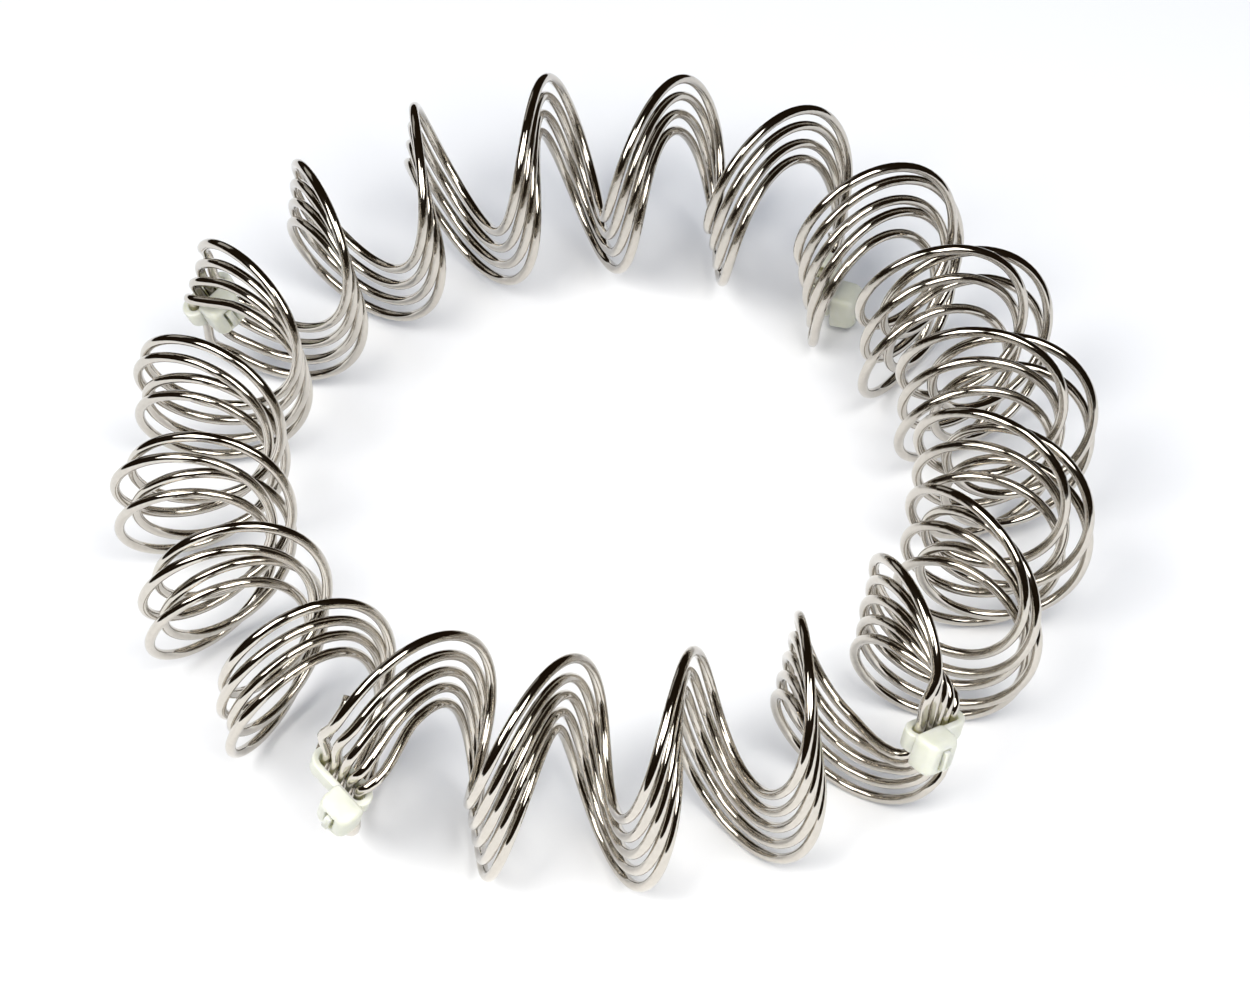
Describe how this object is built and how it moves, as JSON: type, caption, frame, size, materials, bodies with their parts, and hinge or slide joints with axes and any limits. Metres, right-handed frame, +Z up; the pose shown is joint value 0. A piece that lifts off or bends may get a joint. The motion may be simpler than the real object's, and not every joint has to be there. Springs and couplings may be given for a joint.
{
  "type": "hose support spring",
  "caption": "Long open coil spring of bright round wire that supports a hose, wound up into a ring of nested laps and held with trimmed nylon cable ties.",
  "frame": {"origin": "on the surface that the ring lies on, under the middle of the whole object", "axes": "+Z up along the ring's axis; the free end of the wire is at the front left, towards -X and -Y"},
  "size_m": [0.1714, 0.1702, 0.0471],
  "materials": {
    "spring_steel": "bright drawn stainless wire",
    "nylon": "satin, slightly translucent natural nylon"
  },
  "bodies": {
    "root": {"spring": "spring_steel", "cable_tie_1": "nylon", "cable_tie_2": "nylon", "cable_tie_3": "nylon", "cable_tie_4": "nylon"}
  },
  "joints": []
}
